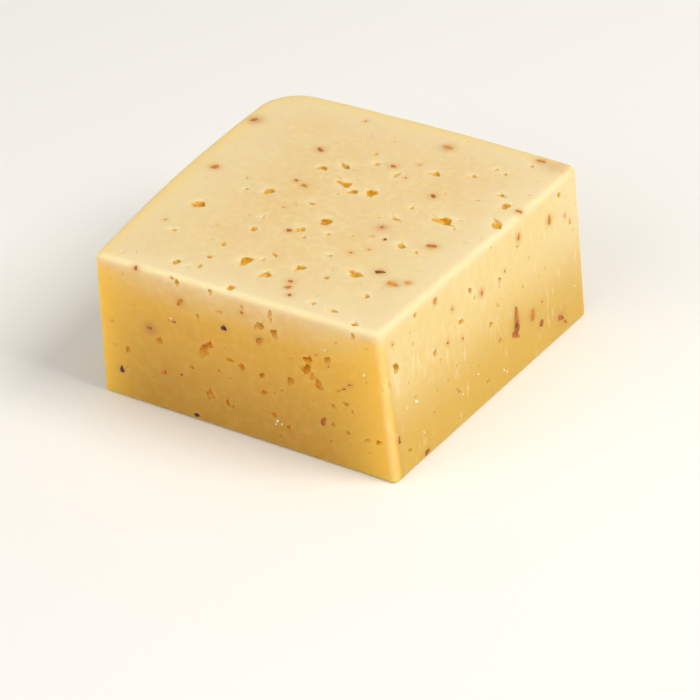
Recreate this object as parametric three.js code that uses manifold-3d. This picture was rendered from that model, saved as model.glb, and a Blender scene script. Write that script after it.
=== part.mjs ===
// A block of semi-hard cheese: the corner piece of a pressed slab, cut by hand on three sides.
//
// Millimetres, +Z up. The origin is the middle of the base. -X and +Y are the two sides that lay
// against the mould, and they bulge a little, as a pressed cheese does. -Y, +X and the top are
// knife cuts, so they are a little out of square, and they open the small irregular holes of the
// curd, which cheesemakers call eyes.
import * as THREE from 'three';
import { TessellateModifier } from 'three/addons/modifiers/TessellateModifier.js';
import { mergeVertices } from 'three/addons/utils/BufferGeometryUtils.js';
import Module from 'manifold-3d';

// ---- driving dimensions -------------------------------------------------------------------
const WIDTH = 110; // along X, at the foot of the rear side
const DEPTH = 114; // along Y, at the top
const HEIGHT = 50;

const LEFT_BULGE = 2.5; // how far the middle of the -X mould side stands out from its two ends
const REAR_BULGE = 1.5; // and the middle of the +Y one
const SIDE_LEAN = 6; // the +X cut leans in by this much from foot to top
const SIDE_SKEW = 9; // the block is this much narrower at the front than at the rear
const FRONT_UNDERCUT = 3; // the foot of the -Y cut steps back by this much at its -X end
const REAR_UNDERCUT = 2; // and the foot of the rear side by this much all along

const MOULD_CORNER = 16; // upright edge where the two mould sides meet
const MOULD_EDGE = 2; // top edges of the mould sides
const CUT_EDGE = 1.5; // edges that a knife left, softened by handling
const REAR_EDGE = 4; // upright edge between the rear mould side and the +X cut
const BASE_EDGE = 1.2;

const ARC_STEPS = 4; // segments in a rounded corner
const LONGEST_EDGE = 30; // sides are split into triangles no longer than this before they bulge
const MOST_SPLITS = 16; // rounds of splitting, which is more than are needed
const PROUD = 5; // how far the profiles run past the block before they are intersected

// Eyes on a face: [across, up, long, wide, turn]. Across and up are measured from a zero near the
// corner of the face that is at the left foot when it is looked at from outside; turn is in degrees.
const TOP_ZERO = [1.5, 0.5];
const FRONT_ZERO = [1.5, 0];
const SIDE_ZERO = [0.5, 0];
const TOP_EYES = [
  [42, 70, 6, 3, -30], [46, 67, 4, 3, 20], [51, 69, 5, 3, 80], [76, 65, 8, 5, -10],
  [90, 70, 7, 3, -55], [87, 81, 4, 3, 70], [83, 86, 4, 2, 0], [61, 88, 5, 3, 10],
  [37, 79, 6, 3, -25], [32, 75, 4, 3, 30], [44, 85, 4, 2, 20], [52, 82, 5, 2, 80],
  [71, 92, 4, 2, 30], [25, 55, 6, 3, 45], [39, 55, 4, 2, 0], [48, 48, 5, 4, 90],
  [11, 39, 5, 4, 60], [32, 34, 3, 2, 90], [44, 40, 4, 3, 70], [73, 46, 4, 3, -20],
  [64, 59, 5, 2, -30], [70, 26, 6, 3, -20], [39, 17, 6, 4, 60], [55, 21, 5, 3, 90],
  [48, 13, 5, 3, 70], [79, 17, 4, 2, -60], [22, 7, 4, 3, 60], [75, 5, 5, 2, -10],
  [58, 31, 5, 2, 10], [12, 22, 3, 2, 20],
];
const FRONT_EYES = [
  [37, 27, 6, 3, 70], [49, 25, 3, 2, 0], [45, 26, 2, 2, 0], [66, 24, 4, 2, 60],
  [73, 33, 6, 4, 80], [76, 27, 5, 3, -60], [80, 36, 5, 2, 80], [62, 40, 5, 2, 90],
  [57, 41, 4, 3, 40], [37, 11, 4, 3, 70], [43, 10, 4, 2, 90], [56, 18, 3, 2, 30],
  [64, 8, 3, 2, 80], [20, 25, 3, 2, 40],
];
const SIDE_EYES = [
  [6, 36, 4, 3, -45], [26, 30, 4, 2, 90], [41, 33, 4, 2, -35], [48, 39, 5, 2, -45],
  [63, 35, 4, 2, 90], [56, 24, 3, 2, 0], [52, 7, 3, 2, -30], [36, 12, 4, 1.5, -45],
];

const EYE_DEPTH = 0.55; // of an eye's width: how deep the hollow goes
const EYE_SINK = 0.15; // of an eye's width: how far its middle lies under the face
const EYE_UNEVENNESS = 0.22; // how far an eye's wall wanders from an ellipsoid, of its radius
const EYE_DETAIL = 1; // subdivisions of the icosahedron an eye starts from

const CURD_COLOUR = '#eed391';
const CURD_ROUGHNESS = 0.5;

// ---- solids --------------------------------------------------------------------------------
const wasm = await Module();
wasm.setup();

function toSolid(geometry) {
  const bare = geometry.clone();
  bare.deleteAttribute('normal');
  bare.deleteAttribute('uv');
  const merged = mergeVertices(bare, 1e-4);
  return new wasm.Manifold(new wasm.Mesh({
    numProp: 3,
    vertProperties: new Float32Array(merged.attributes.position.array),
    triVerts: new Uint32Array(merged.index.array),
  }));
}

function toGeometry(solid) {
  const mesh = solid.getMesh();
  const geometry = new THREE.BufferGeometry();
  geometry.setAttribute('position', new THREE.BufferAttribute(mesh.vertProperties, 3));
  geometry.setIndex(new THREE.BufferAttribute(mesh.triVerts, 1));
  geometry.computeVertexNormals();
  return geometry;
}

// ---- the block -----------------------------------------------------------------------------
// A rectangle centred on the origin, with a radius for each corner in the order
// left foot, right foot, right top, left top.
function roundedRectangle(width, height, [leftFoot, rightFoot, rightTop, leftTop]) {
  const [x, y] = [width / 2, height / 2];
  const quarter = Math.PI / 2;
  const shape = new THREE.Shape();
  shape.absarc(-x + leftFoot, -y + leftFoot, leftFoot, 2 * quarter, 3 * quarter);
  shape.absarc(x - rightFoot, -y + rightFoot, rightFoot, 3 * quarter, 4 * quarter);
  shape.absarc(x - rightTop, y - rightTop, rightTop, 0, quarter);
  shape.absarc(-x + leftTop, y - leftTop, leftTop, quarter, 2 * quarter);
  return shape;
}

function profile(shape, length) {
  const options = { depth: length, bevelEnabled: false, curveSegments: ARC_STEPS };
  return new THREE.ExtrudeGeometry(shape, options).translate(0, 0, -length / 2);
}

// The square block is what three extruded profiles have in common: its plan, its front
// elevation and its side elevation, each with the radii of the edges seen end-on in it.
function squareBlock() {
  const plan = roundedRectangle(WIDTH, DEPTH, [CUT_EDGE, CUT_EDGE, REAR_EDGE, MOULD_CORNER]);
  const front = roundedRectangle(WIDTH, HEIGHT, [BASE_EDGE, BASE_EDGE, CUT_EDGE, MOULD_EDGE]);
  const side = roundedRectangle(DEPTH, HEIGHT, [BASE_EDGE, BASE_EDGE, MOULD_EDGE, CUT_EDGE]);
  const upright = profile(plan, HEIGHT + PROUD);
  const frontToRear = profile(front, DEPTH + PROUD).rotateX(Math.PI / 2);
  const sideToSide = profile(side, WIDTH + PROUD).rotateX(Math.PI / 2).rotateZ(Math.PI / 2);
  return toSolid(upright)
    .intersect(toSolid(frontToRear))
    .intersect(toSolid(sideToSide));
}

// Takes a point of the square block, standing on z = 0, to its place on the hand-cut one.
function handCut(point) {
  const toRight = point.x / WIDTH + 0.5;
  const toRear = point.y / DEPTH + 0.5;
  const up = point.z / HEIGHT;
  const rightSide = SIDE_LEAN * up + SIDE_SKEW * (1 - toRear);
  const leftSide = LEFT_BULGE * Math.sin(Math.PI * toRear);
  const rearSide = REAR_BULGE * Math.sin(Math.PI * toRight);
  const frontFoot = FRONT_UNDERCUT * (1 - toRight) * (1 - toRear);
  const rearFoot = REAR_UNDERCUT * toRear;
  return new THREE.Vector3(
    point.x - rightSide * toRight - leftSide * (1 - toRight),
    point.y + rearSide * toRear + (frontFoot - rearFoot) * (1 - up),
    point.z,
  );
}

function blockGeometry() {
  const square = toGeometry(squareBlock()).translate(0, 0, HEIGHT / 2);
  const geometry = new TessellateModifier(LONGEST_EDGE, MOST_SPLITS).modify(square);
  const position = geometry.attributes.position;
  const point = new THREE.Vector3();
  for (let i = 0; i < position.count; i += 1) {
    point.copy(handCut(point.fromBufferAttribute(position, i)));
    position.setXYZ(i, point.x, point.y, point.z);
  }
  return geometry;
}

// ---- the eyes ------------------------------------------------------------------------------
// A face to cut eyes in, from its four corners. It may be slightly twisted, so it gives the place
// and the directions across, up and out of it at a point measured from its left foot corner.
const face = (leftFoot, rightFoot, leftTop, rightTop) => (across, up) => {
  const toRight = across / leftFoot.distanceTo(rightFoot);
  const toTop = up / leftFoot.distanceTo(leftTop);
  const [left, right] = [leftFoot.clone().lerp(leftTop, toTop), rightFoot.clone().lerp(rightTop, toTop)];
  const [foot, top] = [leftFoot.clone().lerp(rightFoot, toRight), leftTop.clone().lerp(rightTop, toRight)];
  const alongAcross = right.sub(left).normalize();
  const outward = alongAcross.clone().cross(top.clone().sub(foot)).normalize();
  const alongUp = outward.clone().cross(alongAcross);
  return new THREE.Matrix4()
    .makeBasis(alongAcross, alongUp, outward)
    .setPosition(foot.lerp(top, toTop));
};

const cornerAt = (right, rear, up) => handCut(
  new THREE.Vector3((right - 0.5) * WIDTH, (rear - 0.5) * DEPTH, up * HEIGHT),
);
const topFace = face(cornerAt(0, 0, 1), cornerAt(1, 0, 1), cornerAt(0, 1, 1), cornerAt(1, 1, 1));
const frontFace = face(cornerAt(0, 0, 0), cornerAt(1, 0, 0), cornerAt(0, 0, 1), cornerAt(1, 0, 1));
const sideFace = face(cornerAt(1, 0, 0), cornerAt(1, 1, 0), cornerAt(1, 0, 1), cornerAt(1, 1, 1));

// An ellipsoid whose wall wanders in and out, with its own phase so that no two look alike.
function eyeBlob(long, wide, phase) {
  const blob = new THREE.IcosahedronGeometry(1, EYE_DETAIL);
  const position = blob.attributes.position;
  const p = new THREE.Vector3();
  for (let i = 0; i < position.count; i += 1) {
    p.fromBufferAttribute(position, i);
    const wander = Math.sin(3 * p.x + phase) * Math.cos(2 * p.y - 2 * phase) + Math.sin(4 * p.y + phase) / 2;
    p.multiplyScalar(1 + EYE_UNEVENNESS * wander);
    position.setXYZ(i, p.x, p.y, p.z);
  }
  return blob.scale(long / 2, wide / 2, wide * EYE_DEPTH);
}

function eyeSolids(eyes, placeOnFace, [zeroAcross, zeroUp]) {
  return eyes.map(([across, up, long, wide, turn], index) => {
    const blob = eyeBlob(long, wide, index)
      .rotateZ(THREE.MathUtils.degToRad(turn))
      .translate(0, 0, -wide * EYE_SINK)
      .applyMatrix4(placeOnFace(zeroAcross + across, zeroUp + up));
    return toSolid(blob);
  });
}

// ---- the object ----------------------------------------------------------------------------
// The cuts leave the block a little to one side, so its box is brought back over the origin.
function centred(geometry) {
  geometry.computeBoundingBox();
  const middle = geometry.boundingBox.getCenter(new THREE.Vector3());
  return geometry.translate(-middle.x, -middle.y, 0);
}

const eyes = [
  ...eyeSolids(TOP_EYES, topFace, TOP_ZERO),
  ...eyeSolids(FRONT_EYES, frontFace, FRONT_ZERO),
  ...eyeSolids(SIDE_EYES, sideFace, SIDE_ZERO),
];
const cheese = eyes.reduce((solid, eye) => solid.subtract(eye), toSolid(blockGeometry()));

const curd = new THREE.MeshStandardMaterial({
  name: 'pressed_curd',
  color: CURD_COLOUR,
  roughness: CURD_ROUGHNESS,
  metalness: 0,
});
const block = new THREE.Mesh(centred(toGeometry(cheese)), curd);
block.name = 'cheese_block';

const object = new THREE.Group();
object.add(block);

export default object;
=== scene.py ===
# %% [markdown]
# # A block of cheese with spice flakes
#
# The object is one piece of semi-hard cheese: the corner of a pressed slab. Two of its sides lay
# against the mould cloth and keep its print. The front, the right side and the top are knife
# cuts, which open the little holes of the curd (its eyes) and slice through flakes of spice.
#
# The imported construction model gives the size and the place of everything. It is loaded first,
# and its box is kept.

# %% Load the frame
import math
import random

import bmesh
import bpy
import numpy as np
from mathutils import Matrix, Vector, noise
from mathutils.bvhtree import BVHTree


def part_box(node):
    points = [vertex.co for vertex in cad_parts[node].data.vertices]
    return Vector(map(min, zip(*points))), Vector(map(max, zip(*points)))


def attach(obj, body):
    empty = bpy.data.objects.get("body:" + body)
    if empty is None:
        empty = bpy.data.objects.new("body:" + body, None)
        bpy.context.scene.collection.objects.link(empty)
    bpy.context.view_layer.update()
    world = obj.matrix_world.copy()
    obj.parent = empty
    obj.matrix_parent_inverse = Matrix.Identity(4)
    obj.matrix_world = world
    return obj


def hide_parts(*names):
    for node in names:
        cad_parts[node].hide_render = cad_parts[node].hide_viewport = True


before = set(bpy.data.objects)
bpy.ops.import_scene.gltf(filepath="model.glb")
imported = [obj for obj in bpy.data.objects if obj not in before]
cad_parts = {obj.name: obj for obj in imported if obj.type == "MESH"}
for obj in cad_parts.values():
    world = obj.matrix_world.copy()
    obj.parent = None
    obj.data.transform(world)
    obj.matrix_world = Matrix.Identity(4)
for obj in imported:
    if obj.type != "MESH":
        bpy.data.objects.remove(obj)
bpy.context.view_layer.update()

MM = 0.001
low, high = (Vector(corner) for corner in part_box("cheese_block"))
width, depth, height = high - low
print(f"block {width / MM:.1f} x {depth / MM:.1f} x {height / MM:.1f} mm")

# %% [markdown]
# ## The camera
#
# The block is seen from above its front right corner with a long lens, which keeps the edges
# almost parallel. The camera is set from six numbers: how far round and how far up it stands,
# its distance, its lens, and how far its axis passes to the side of the block's middle and under
# it. The whole camera is moved rather than its lens shifted, so that other views stay straight.

# %% Set the camera
CAMERA_ROUND = math.radians(28.2)
CAMERA_UP = math.radians(32.9)
CAMERA_DISTANCE = 1211 * MM
CAMERA_DROP = 21.4 * MM
CAMERA_SIDE = 0.9 * MM
LENS_PER_SENSOR = 40 / 7

backward = Vector((
    math.sin(CAMERA_ROUND) * math.cos(CAMERA_UP),
    -math.cos(CAMERA_ROUND) * math.cos(CAMERA_UP),
    math.sin(CAMERA_UP),
))
rightward = Vector((math.cos(CAMERA_ROUND), math.sin(CAMERA_ROUND), 0))
upward = backward.cross(rightward)
camera_data = bpy.data.cameras.new("camera")
camera_data.sensor_width = 36
camera_data.lens = camera_data.sensor_width * LENS_PER_SENSOR
camera = bpy.data.objects.new("camera", camera_data)
camera.location = ((low + high) / 2 + backward * CAMERA_DISTANCE
                   + rightward * CAMERA_SIDE - upward * CAMERA_DROP)
camera.rotation_euler = backward.to_track_quat("Z", "Y").to_euler()
bpy.context.scene.collection.objects.link(camera)
bpy.context.scene.camera = camera
print(f"lens {camera_data.lens:.0f} mm at {CAMERA_DISTANCE:.2f} m")

# %% [markdown]
# ## Tools for modelling by hand
#
# The steps below are the ones a modeller makes with the mouse: pick some corners, edges or
# faces, then move, bevel or subdivide them. Picking is by place or by direction, so each helper
# takes a test. Nothing is left selected from an earlier step.

# %% Picking and applying
def make_active(piece):
    """Leaves one object selected, and active."""
    bpy.ops.object.select_all(action="DESELECT")
    piece.select_set(True)
    bpy.context.view_layer.objects.active = piece


def pick(kind, test):
    """In edit mode, selects only the vertices, edges or faces that pass the test."""
    bpy.ops.mesh.select_mode(type=kind)
    bpy.ops.mesh.select_all(action="DESELECT")
    mesh = bmesh.from_edit_mesh(bpy.context.object.data)
    items = {"VERT": mesh.verts, "EDGE": mesh.edges, "FACE": mesh.faces}[kind]
    chosen = [item for item in items if test(item)]
    for item in chosen:
        item.select_set(True)
    mesh.select_flush_mode()
    bmesh.update_edit_mesh(bpy.context.object.data)
    return len(chosen)


def apply_modifier(piece, kind, **settings):
    """Adds a modifier to a piece, sets it and applies it."""
    make_active(piece)
    modifier = piece.modifiers.new(kind.lower(), kind)
    for name, value in settings.items():
        setattr(modifier, name, value)
    bpy.ops.object.modifier_apply(modifier=modifier.name)


# %% [markdown]
# ## The square-cut block
#
# A hand-cut block is nearly a box, so it starts as a cube of the block's own size, less the
# bulge of its two mould sides, which comes later. A knife never runs quite true: the right cut
# leans in towards the top and runs in towards the front, and the feet of the front and rear
# sides step back a little. Those are four pushes on corners.

# %% A cube with its corners pushed
SIDE_LEAN = 6 * MM
SIDE_SKEW = 9 * MM
FRONT_UNDERCUT = 3 * MM
REAR_UNDERCUT = 2 * MM
LEFT_BULGE = 2.5 * MM
REAR_BULGE = 1.5 * MM
ROUNDED_OFF = 0.4 * MM  # what the round rear corner takes off the width at the foot

square_low = low + Vector((LEFT_BULGE, 0, 0))
square_high = high + Vector((ROUNDED_OFF, -REAR_BULGE, 0))
bpy.ops.object.select_all(action="DESELECT")
bpy.ops.mesh.primitive_cube_add(
    size=1, location=(square_low + square_high) / 2, scale=square_high - square_low)
cheese = bpy.context.object
cheese.name = "cheese"
bpy.ops.object.transform_apply(location=True, rotation=True, scale=True)


def at_corner(right=None, rear=None, top=None):
    """A test for corners on the named sides of the block: True, False, or None for either."""
    def test(vertex):
        sides = (vertex.co.x > 0, vertex.co.y > 0, vertex.co.z > height / 2)
        return all(want is None or want == side for want, side in zip((right, rear, top), sides))
    return test


bpy.ops.object.mode_set(mode="EDIT")
PUSHES = [
    (at_corner(right=True, top=True), (-SIDE_LEAN, 0, 0)),
    (at_corner(right=True, rear=False), (-SIDE_SKEW, 0, 0)),
    (at_corner(right=False, rear=False, top=False), (0, FRONT_UNDERCUT, 0)),
    (at_corner(rear=True, top=False), (0, -REAR_UNDERCUT, 0)),
]
for test, push in PUSHES:
    pick("VERT", test)
    bpy.ops.transform.translate(value=push)
bpy.ops.object.mode_set(mode="OBJECT")
corners = {
    (v.co.x > 0, v.co.y > 0, v.co.z > height / 2): v.co.copy() for v in cheese.data.vertices
}
print(f"{len(corners)} corners, top front edge "
      f"{(corners[True, False, True] - corners[False, False, True]).length / MM:.1f} mm")

# %% [markdown]
# ## Rounded edges
#
# The mould leaves a small radius along the top edges of its two sides, and the knife an edge
# that only handling has softened. One Bevel modifier makes all of them, because a bevel weight
# on each edge gives its share of the largest radius. The two rear uprights stay sharp for now.
# They are rounded after the next step, which needs faces with four corners.

# %% Weight the edges and bevel them
KNIFE_EDGE = 1.5 * MM
MOULD_EDGE = 2 * MM
BASE_EDGE = 1.2 * MM
EDGE_RADII = [  # each later line takes over the edges that it finds
    (KNIFE_EDGE, lambda a, b: True),
    (MOULD_EDGE, lambda a, b: a.z + b.z > 1.5 * height and (
        a.x + b.x < -width / 2 or a.y + b.y > depth / 2)),
    (BASE_EDGE, lambda a, b: a.z + b.z < height / 2),
    (0, lambda a, b: abs(a.z - b.z) > height / 2 and a.y > 0),  # the rear uprights
]

make_active(cheese)
bpy.ops.object.mode_set(mode="EDIT")
for radius, along in EDGE_RADII:
    found = pick("EDGE", lambda edge: along(edge.verts[0].co, edge.verts[1].co))
    bpy.ops.transform.edge_bevelweight(value=-1)  # takes off the weight of an earlier line
    bpy.ops.transform.edge_bevelweight(value=radius / MOULD_EDGE)
    print(f"{found} edges at {radius / MM:.1f} mm")
bpy.ops.object.mode_set(mode="OBJECT")
apply_modifier(cheese, "BEVEL", width=MOULD_EDGE, segments=6, limit_method="WEIGHT")

# %% [markdown]
# ## A grid to work on
#
# The surface needs points before it can carry any relief. Subdividing only the long edges that
# run one way cuts the block into even slices, and doing it for all three ways gives a grid of
# squares. The squares are as wide as one cell of the mould cloth. They are split once on the
# three cuts, which carry fine marks and colours, and three times on the mould sides, where the
# cloth print needs several points a cell.

# %% Slice the block into cells
CLOTH_PITCH = 2.3 * MM
LONG_EDGE = 20 * MM
CUTS_ON_KNIFE_SIDES = 1
CUTS_ON_MOULD_SIDES = 3


def runs_along(axis):
    """A test for long edges that run along an axis."""
    def test(edge):
        line = edge.verts[1].co - edge.verts[0].co
        return line.length > LONG_EDGE and abs(line[axis]) > 0.9 * line.length
    return test


def is_mould_side(face):
    """The two sides that lay against the mould: left and rear, with their rounded edges."""
    return abs(face.normal.z) < 0.35 and (face.normal.x < -0.4 or face.normal.y > 0.4)


def is_cut(face):
    """The knife cuts: the top, the front and the right side."""
    return max(face.normal.x, face.normal.z, -face.normal.y) > 0.98


make_active(cheese)
bpy.ops.object.mode_set(mode="EDIT")
for axis, length in enumerate((width, depth, height)):
    pick("EDGE", runs_along(axis))
    bpy.ops.mesh.subdivide(number_cuts=round(length / CLOTH_PITCH) - 1)
for test, cuts in ((is_cut, CUTS_ON_KNIFE_SIDES), (is_mould_side, CUTS_ON_MOULD_SIDES)):
    pick("FACE", test)
    bpy.ops.mesh.subdivide(number_cuts=cuts)
bpy.ops.object.mode_set(mode="OBJECT")
print(f"{len(cheese.data.polygons)} faces in the grid")

# %% [markdown]
# ## Round rear corners
#
# The curd filled the mould's round corner, and the rear end of the right side has slumped a
# little. Round a corner's own upright axis the grid lies in square rings. Each ring is drawn in
# to the circle that it just holds, so the walls, the edge at the top and the foot all turn round
# together, and no face is torn or doubled.

# %% Draw the square rings in to round ones
MOULD_CORNER = 13 * MM
REAR_CORNER = 4 * MM


def breadth(place):
    """How wide the block is, from its left side to its right one, through a place."""
    to_rear = (place.y - square_low.y) / (square_high.y - square_low.y)
    whole = square_high.x - square_low.x
    return whole - SIDE_LEAN * place.z / height - SIDE_SKEW * (1 - to_rear)


def rounded(vertex):
    """Where a point goes as the two rear corners are made round."""
    place = vertex.co
    from_left = place.x - square_low.x
    from_right = breadth(place) - from_left
    from_rear = square_high.y - REAR_UNDERCUT * (1 - place.z / height) - place.y
    shift = Vector()
    for reach, radius, inward in ((from_left, MOULD_CORNER, 1), (from_right, REAR_CORNER, -1)):
        u, v = radius - reach, radius - from_rear
        if u > 0 and v > 0:
            drawn_in = 1 - max(u, v) / math.hypot(u, v)
            shift += Vector((inward * u, -v, 0)) * drawn_in
    return place + shift


def move_points(piece, rule):
    """Moves every point of a piece to where a rule says, and returns the places."""
    moved = [rule(vertex) for vertex in piece.data.vertices]
    piece.data.vertices.foreach_set("co", np.array(moved, dtype=np.float32).ravel())
    piece.data.update()
    return moved


move_points(cheese, rounded)
print(f"rear corners rounded at {MOULD_CORNER / MM:.0f} and {REAR_CORNER / MM:.0f} mm")

# %% [markdown]
# ## Relief of the surface
#
# Four things shape the skin of the block. Its two mould sides bulge, because the press squeezed
# the curd out against the cloth. The weave of that cloth is pressed into them as a waffle of
# small cushions. The knife drags the curd into faint waves that run along its stroke, up and
# down on the right side. And nothing soft is quite flat, so the whole surface swells and sinks by
# a tenth of a millimetre. Each is a formula of the place. Apart from the bulge, every point moves
# inwards along its normal, so the block stays inside its construction size. The base stays flat.

# %% Press the cloth print and the knife marks
CLOTH_DEPTH = 0.5 * MM
WORN_PATCH = 22 * MM  # about as wide as the patches where the print has faded
PRINT_FADES = 5 * MM  # how far under the top the print starts to fade
PRINT_ENDS = 2 * MM  # and how far under the top it has gone
SWELL = 0.12 * MM
SWELL_WIDTH = 14 * MM
DRAG = 0.14 * MM
DRAG_WIDTH = 3.2 * MM
DRAG_LENGTH = 40 * MM


def smooth_step(start, end, value):
    """0 up to start, 1 from end, and a smooth ramp between."""
    t = min(max((value - start) / (end - start), 0), 1)
    return t * t * (3 - 2 * t)


def bulge(place):
    """How far the sides carry a place outwards: nothing at the cuts, most between them."""
    to_rear = (place.y - square_low.y) / (square_high.y - square_low.y)
    to_right = (place.x - square_low.x) / breadth(place)
    left = LEFT_BULGE * math.sin(math.pi * to_rear) * (1 - to_right)
    rear = REAR_BULGE * math.sin(math.pi * to_right) * to_rear
    return Vector((-left, rear, 0))


def cloth_print(place):
    """How deep the cloth pressed here, 0 to 1: cushions on a diagonal lattice."""
    turn = 2 * math.pi / CLOTH_PITCH
    weave = math.cos(turn * (place.x + place.y)) * math.cos(turn * place.z)
    wear = noise.noise(place / WORN_PATCH)
    return (0.5 - 0.5 * weave) * smooth_step(-0.55, 0.1, wear)


def drag_marks(place):
    """Waves of the knife's stroke, 0 to 1: narrow across the stroke and long with it."""
    stretched = Vector((place.x / DRAG_LENGTH, place.y / DRAG_WIDTH, place.z / DRAG_LENGTH))
    return 0.5 + 0.5 * noise.noise(stretched)


def press_in(vertex):
    """Where a point of the surface ends up."""
    place, normal = vertex.co, vertex.normal
    sink = SWELL * (0.5 + 0.5 * noise.noise(place / SWELL_WIDTH))
    mould = smooth_step(0.2, 0.7, max(-normal.x, normal.y))
    printed = 1 - smooth_step(height - PRINT_FADES, height - PRINT_ENDS, place.z)
    sink += CLOTH_DEPTH * cloth_print(place) * mould * printed
    sink += DRAG * drag_marks(place) * smooth_step(0.5, 0.95, normal.x)
    resting = 1 - smooth_step(0.5, 0.9, -normal.z)
    return place + bulge(place) - normal * sink * resting


skin_points = move_points(cheese, press_in)
skin = BVHTree.FromPolygons(skin_points, [tuple(face.vertices) for face in cheese.data.polygons])
print(f"skin relief on {len(skin_points)} points")

# %% [markdown]
# ## Places on a side
#
# Eyes and flakes are set out on each side the way a maker would mark them with a ruler: so many
# millimetres across and so many up, from a zero near the left foot of that side as it is looked
# at. The front is slightly twisted, because its foot steps back only at the left, so a place is
# found between all four corners, and its own directions across, up and out come with it.

# %% Rulers on the sides
SIDES = {  # left foot, right foot, left top and right top: is it right, rear, upper?
    "top": ((False, False, True), (True, False, True), (False, True, True), (True, True, True)),
    "front": ((False, False, False), (True, False, False), (False, False, True), (True, False, True)),
    "right": ((True, False, False), (True, True, False), (True, False, True), (True, True, True)),
    "rear": ((True, True, False), (False, True, False), (True, True, True), (False, True, True)),
    "left": ((False, True, False), (False, False, False), (False, True, True), (False, False, True)),
}
MOULD_SIDES = ("rear", "left")
ZEROS = {"top": (1.5, 0.5), "front": (1.5, 0), "right": (0.5, 0), "rear": (0, 0), "left": (0, 0)}


def side_size(side):
    """How far a side runs across its foot and up its left edge, in mm."""
    left_foot, right_foot, left_top, _ = (corners[key] for key in SIDES[side])
    return (right_foot - left_foot).length / MM, (left_top - left_foot).length / MM


def on_side(side, across, up):
    """The frame at a place on a side: it takes (across, up, out) from there into space."""
    left_foot, right_foot, left_top, right_top = (corners[key] for key in SIDES[side])
    wide, tall = side_size(side)
    to_right = (across + ZEROS[side][0]) / wide
    to_top = (up + ZEROS[side][1]) / tall
    left = left_foot.lerp(left_top, to_top)
    right = right_foot.lerp(right_top, to_top)
    foot = left_foot.lerp(right_foot, to_right)
    top = left_top.lerp(right_top, to_right)
    along = (right - left).normalized()
    outward = along.cross(top - foot).normalized()
    turned = Matrix((along, outward.cross(along), outward)).transposed().to_4x4()
    place = foot.lerp(top, to_top)
    if side in MOULD_SIDES:
        place += bulge(place)
    return Matrix.Translation(place) @ turned


for side in SIDES:
    print(side, "{:.1f} x {:.1f} mm".format(*side_size(side)))

# %% [markdown]
# ## Eyes
#
# Curd is pressed as loose grains, and where they don't quite close up they leave torn little
# gaps. An eye is neither round nor smooth, so one ellipsoid won't do. A large one is made of a
# few rough lobes, pushed together and melted into one by a voxel remesh, and a small one of a
# single lobe. A Boolean then takes them out of the block, which leaves a crisp lip where the
# knife went through. The ones that show are listed one by one, and tiny ones are scattered between
# them from a fixed seed.

# %% The eyes listed: across, up, long, wide, turn
TOP_EYES = [
    (42, 70, 6, 3, -30), (46, 67, 4, 3, 20), (51, 69, 5, 3.5, 80), (76, 65, 7, 4.5, -10),
    (80, 67, 3, 1.2, 20), (81, 62, 3, 1.2, -50), (90, 70, 7, 3, -55), (87, 81, 4, 3, 70),
    (83, 86, 4, 2, 0), (61, 88, 5, 2.8, 10), (37, 79, 6, 2.4, -25), (32, 75, 3.5, 3, 30),
    (44, 85, 4, 2, 20), (52, 82, 5, 1.6, 80), (71, 92, 4, 1.6, 30), (25, 55, 5.5, 3, 45),
    (39, 55, 4, 1.6, 0), (48, 48, 4.5, 3.5, 90), (11, 39, 5, 3.5, 60), (32, 34, 3, 2.2, 90),
    (44, 40, 4, 2.6, 70), (67, 47, 2.6, 1.6, 0), (73, 46, 4.5, 2.6, -20), (64, 59, 5, 1.6, -30),
    (65, 67, 3, 1.4, 80), (70, 26, 6, 3, -20), (39, 17, 6, 4, 60), (43, 20, 3, 1.4, 50),
    (55, 21, 5, 2.8, 90), (48, 13, 5, 3, 70), (79, 17, 4, 2, -60), (22, 7, 4, 2.6, 60),
    (26, 6, 3, 1.2, 10), (29, 8, 2.4, 1.6, 80), (68, 6, 2.6, 1.8, 20), (75, 5, 4.5, 1.8, -10),
    (43, 2, 4, 2.4, 90), (84, 2, 4, 1.8, -40), (12, 22, 3, 1.8, 20), (29, 22, 2.4, 1.8, 90),
    (29, 14, 2.2, 1.8, 90), (58, 31, 5, 1.4, 10), (45, 24, 2.4, 1.4, -40), (64, 20, 2.2, 1.6, 0),
    (75, 99, 3, 1.4, 90), (78, 98, 2.6, 1.8, -40), (82, 106, 2.6, 1.8, 0), (19, 53, 3, 1.4, 80),
    (52, 42, 2.6, 1.8, 20), (31, 41, 3, 1.2, 80), (84, 36, 2.2, 1.4, 10), (95, 105, 2, 1.2, 80),
]
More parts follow.
